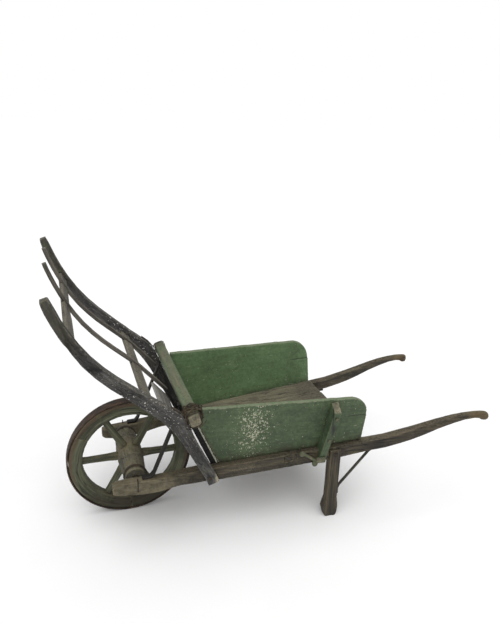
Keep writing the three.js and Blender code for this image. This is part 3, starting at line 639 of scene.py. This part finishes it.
def make_frame():
    """Shafts, legs, cross members, floor and front board."""
    brown = bare_wood("weathered_oak", srgb(26, 23, 17), srgb(58, 52, 40), srgb(92, 82, 63), srgb(126, 114, 90),
                      0.45, srgb(112, 102, 82), moss=0.3,
                      marks=[("tan", srgb(98, 80, 48), 0.6), ("dusty", srgb(122, 114, 90), 0.75, 50),
                             ("flaked", srgb(168, 160, 138), 0.9, 230)])
    # Painted shade: the front board is coloured almost black, standing in for the deep shade under the crossbar
    # and next to the rack rails.
    shade_black_board = bare_wood("front_board_wood", srgb(3, 3, 3), srgb(6, 7, 5), srgb(13, 14, 11), srgb(20, 22, 17),
                           0.05, marks=[("lit_sliver", srgb(186, 186, 168), 0.9, 140)])
    deck = bare_wood("floor_wood", srgb(64, 60, 45), srgb(96, 92, 73), srgb(122, 117, 95), srgb(124, 118, 97),
                     0.4, srgb(112, 106, 88), marks=[("stain", srgb(54, 48, 38), 0.75)])
    unmarked = dict.fromkeys(("tan", "dusty", "flaked"), none)
    for side, sign in SIDES.items():
        worn(f"shaft_{side}", brown, straight(X, Z), 0.003,
             masks={"tan": above(0.845, 0.12, 0), "dusty": wheel_end_dust, "flaked": shaft_flakes(sign)})
        worn(f"leg_{side}", brown, straight(Z, X), 0.0028, rub=0.6, masks=unmarked)
    for which in ("front", "middle", "rear"):
        worn(f"cross_member_{which}", brown, straight(Y, X), 0.004, masks=unmarked)
    # Each front board also gets a painted highlight, a pale line along the rear edge of its ends.
    for which in ("lower", "upper"):
        worn(f"front_board_{which}", shade_black_board, straight(Y, Z), 0.003, rub=0.15, uneven=0.0002, splits=False,
             masks={"lit_sliver": painted_highlight_share(*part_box(f"front_board_{which}"))})
    for number in range(1, 5):
        worn(f"floor_board_{number}", deck, straight(X, Y), 0.0035, rub=0.3, uneven=0.0005,
             masks={"stain": place_mask((0.33, 0, 0.36), (0.16, 0.5, 0.2))})


def make_rack():
    """The curved rack over the wheel and the bar at its foot."""
    grey = bare_wood("rail_wood", srgb(26, 25, 25), srgb(54, 53, 51), srgb(92, 90, 85), srgb(128, 122, 110),
                     0.5, srgb(112, 108, 96), moss=0.2,
                     marks=[("mossy", srgb(58, 55, 38), 0.55), ("pale", srgb(160, 152, 132), 0.95)], specks=True)
    thin = bare_wood("lath_wood", srgb(44, 41, 36), srgb(72, 68, 60), srgb(102, 97, 87), srgb(130, 124, 112), 0.5)
    pale = bare_wood("rung_wood", srgb(46, 43, 35), srgb(76, 72, 61), srgb(106, 101, 88),
                     srgb(132, 126, 110), 0.45)
    board = bare_wood("short_board_wood", srgb(96, 94, 88), srgb(130, 127, 120), srgb(160, 157, 149),
                      srgb(168, 164, 156), 0.3)
    for side, sign in SIDES.items():
        low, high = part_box(f"rack_rail_{side}")
        outer = high.y if sign > 0 else low.y
        lumps = [((-0.571, 0.36, 0.725), (0.022, 0.05, 0.018), 0.012),
                 ((-0.545, 0.36, 0.703), (0.012, 0.05, 0.012), 0.011),
                 ((-0.488, 0.36, 0.655), (0.014, 0.05, 0.014), 0.009)] if side == "right" else ()
        worn(f"rack_rail_{side}", grey, curved, 0.003, rub=0.2, uneven=0.0003, lumps=lumps,
             masks={"specks": place_mask((-0.58, outer, 0.64), (0.24, 1, 0.17)), "mossy": above(0.93, 0.22),
                    "pale": place_mask((low.x + 0.625, outer, 0.285), (0.016, 1, 0.05))})
    worn("rack_lath_middle", thin, curved, 0.0025)
    worn("rack_lath_right", thin, curved, 0.0025)
    for name in ("rack_rung_upper", "rack_rung_lower"):
        worn(name, pale, straight(Y, Z), 0.003)
    worn("rack_short_board", board, straight(Y, Z), 0.003)


def make_box():
    """The painted sides, their stakes and the crossbar."""
    green = painted_wood("panel_paint", srgb(82, 107, 68), srgb(96, 122, 82), srgb(60, 72, 48),
                         srgb(180, 180, 158), srgb(116, 120, 98), 0.85, 0.7)
    stake_green = painted_wood("stake_paint", srgb(58, 74, 48), srgb(76, 92, 62), srgb(62, 74, 52),
                               srgb(150, 148, 122), srgb(104, 108, 78), 0.8, 0.9)
    bar = painted_wood("crossbar_paint", srgb(74, 88, 62), srgb(104, 116, 88), srgb(96, 104, 80),
                       srgb(126, 120, 92), srgb(118, 118, 94), 0.35, 0.8, streaky=1.0)
    unmarked = dict.fromkeys(("weathered", "chipped", "grime"), none)
    for side, sign in SIDES.items():
        low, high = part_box(f"panel_lower_{side}")
        outward = outer_face(sign)
        chipped = chipped_patch(sign, outward) if side == "left" else none
        worn((f"panel_lower_{side}", f"panel_upper_{side}"), green, straight(X, Z), 0.004, rub=0.6, uneven=0.0008,
             splits=False, close=0.0008, crack_at=plank_joint(low, high),
             masks={"weathered": outward, "chipped": chipped, "grime": floor_grime(low)})
        worn(f"stake_{side}", stake_green, straight((0.12, 0, 1), X), 0.0025, masks=unmarked)
    worn("crossbar", bar, straight(Y, X), 0.003, masks={**unmarked, "grime": bar_end_grime})


def make_wheel():
    """The hub, spokes, felloes and tyre."""
    rim = bare_wood("rim_wood", srgb(42, 42, 29), srgb(70, 72, 53), srgb(98, 100, 78), srgb(116, 110, 84), 0.45,
                    srgb(104, 98, 76), 0.4,
                    marks=[("rust", srgb(80, 56, 40), 0.6, 60), ("dark_low", srgb(46, 41, 28), 0.85),
                           ("dusty", srgb(112, 104, 80), 0.6, 60)])
    nave = bare_wood("nave_wood", srgb(50, 48, 37), srgb(84, 81, 66), srgb(118, 113, 94), srgb(124, 118, 94), 0.6,
                     srgb(116, 108, 84), 0.5,
                     marks=[("band", srgb(70, 72, 70), 0.5), ("dusty", srgb(122, 112, 86), 0.7, 60)])
    tyre_iron = rusty_iron("tyre_iron", srgb(34, 27, 22), srgb(58, 45, 36), srgb(92, 68, 50))
    near_hub = place_mask((WHEEL[0], 0, WHEEL[2]), (0.085, 0.06, 0.085))
    # Rim and spokes are darker towards the bottom of the wheel at rest.
    masks = {"rust": rim_rust, "dark_low": below(0.1, 0.16), "dusty": near_hub}
    for number in range(1, 7):
        worn(f"spoke_{number}", rim, spoke_grain, 0.0025, masks=masks)
    for number in range(1, 4):
        worn(f"felloe_{number}", rim, round_wheel, 0.003, rub=0.3, uneven=0.0004, masks=masks)
    worn("hub", nave, straight(Y, X), 0.003, masks={"band": hub_bands, "dusty": near_hub})
    forged("tyre", tyre_iron, 0.0026, 0.35, 0.0005)


def make_iron():
    """Axle, bands, keepers, bolts, stays, braces and brackets."""
    iron = rusty_iron("wrought_iron", srgb(30, 27, 23), srgb(56, 48, 39), srgb(88, 70, 52))
    black = rusty_iron("black_iron", srgb(18, 17, 15), srgb(32, 30, 26), srgb(50, 44, 36))
    grey = rusty_iron("grey_iron", srgb(38, 37, 31), srgb(62, 60, 51), srgb(84, 80, 66))
    greenish = rusty_iron("painted_iron", srgb(66, 63, 50), srgb(102, 97, 79), srgb(132, 124, 100), green=0.5)
    forged("axle", iron)
    for side in SIDES:
        for node in (f"hub_band_{side}", f"axle_keeper_{side}", f"leg_bolt_{side}", f"rail_bolt_{side}",
                     f"crossbar_band_{side}"):
            forged(node, iron)
        forged(f"leg_stay_{side}", grey)
        forged(f"rack_brace_{side}", black)
        for node in (f"stake_bracket_{side}", f"stake_bolt_upper_{side}", f"stake_bolt_lower_{side}"):
            forged(node, greenish)


def make_lashing():
    """Old rusty wire wound round the near end of the crossbar, over its iron band."""
    loops, corners = 26, 30
    wire = rusty_iron("lashing_wire", srgb(34, 29, 21), srgb(66, 57, 42), srgb(112, 98, 74))
    rng = np.random.default_rng(41)
    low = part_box("crossbar_band_left")[0]
    bar_low, bar_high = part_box("crossbar")
    middle = np.array([(bar_low.x + bar_high.x) / 2, 0, (bar_low.z + bar_high.z) / 2])
    points, faces = [], []
    for turn in range(loops):
        y = low.y + 0.016 + 0.0022 * turn + rng.uniform(-0.004, 0.004)
        turns = np.linspace(0, 2 * math.pi * rng.uniform(0.12, 0.75), corners) + rng.uniform(0, 6.3)
        loose = rng.uniform(-0.002, 0.009) * np.linspace(-1, 1, corners) ** 2
        reach = 0.029 + rng.uniform(0, 0.005) + 0.0025 * np.sin(turns * 5 + turn) + loose
        square = reach / np.maximum(np.abs(np.cos(turns)), np.abs(np.sin(turns))) ** 0.55
        path = np.stack([middle[0] + square * np.cos(turns), y + 0.011 * np.sin(turns * 1.3 + turn * 1.7),
                         middle[2] + square * np.sin(turns)], axis=1)
        more, sides = tube(path, rng.uniform(0.0014, 0.0024))
        faces += [tuple(len(points) + corner for corner in face) for face in sides]
        points += more
    mesh = bpy.data.meshes.new("crossbar_band_left_wire")
    mesh.from_pydata([tuple(point) for point in points], [], faces)
    mesh.update()
    store(mesh, "edge", np.zeros(len(mesh.vertices)))
    piece_from(mesh, "crossbar_band_left_wire", ("crossbar_band_left",), wire)


def make_floor():
    """A wide plain floor."""
    look = Look("studio_floor")
    tone = look.noise(look.place, 2.0, 2)
    colour = look.ramp(tone, (0.3, (0.93, 0.93, 0.93)), (0.7, (0.95, 0.95, 0.95)))
    material = look.done(colour, 0.9, tone, 0.0001)
    mesh = bpy.data.meshes.new("studio_floor")
    sides, reach = 96, 60.0
    ring = [(reach * math.cos(2 * math.pi * i / sides), reach * math.sin(2 * math.pi * i / sides), 0.0)
            for i in range(sides)]
    mesh.from_pydata(ring, [], [tuple(range(sides))])
    mesh.materials.append(material)
    floor = bpy.data.objects.new("studio_floor", mesh)
    bpy.context.scene.collection.objects.link(floor)


make_camera()
make_light()
make_floor()
make_frame()
make_rack()
make_box()
make_wheel()
make_iron()
make_lashing()
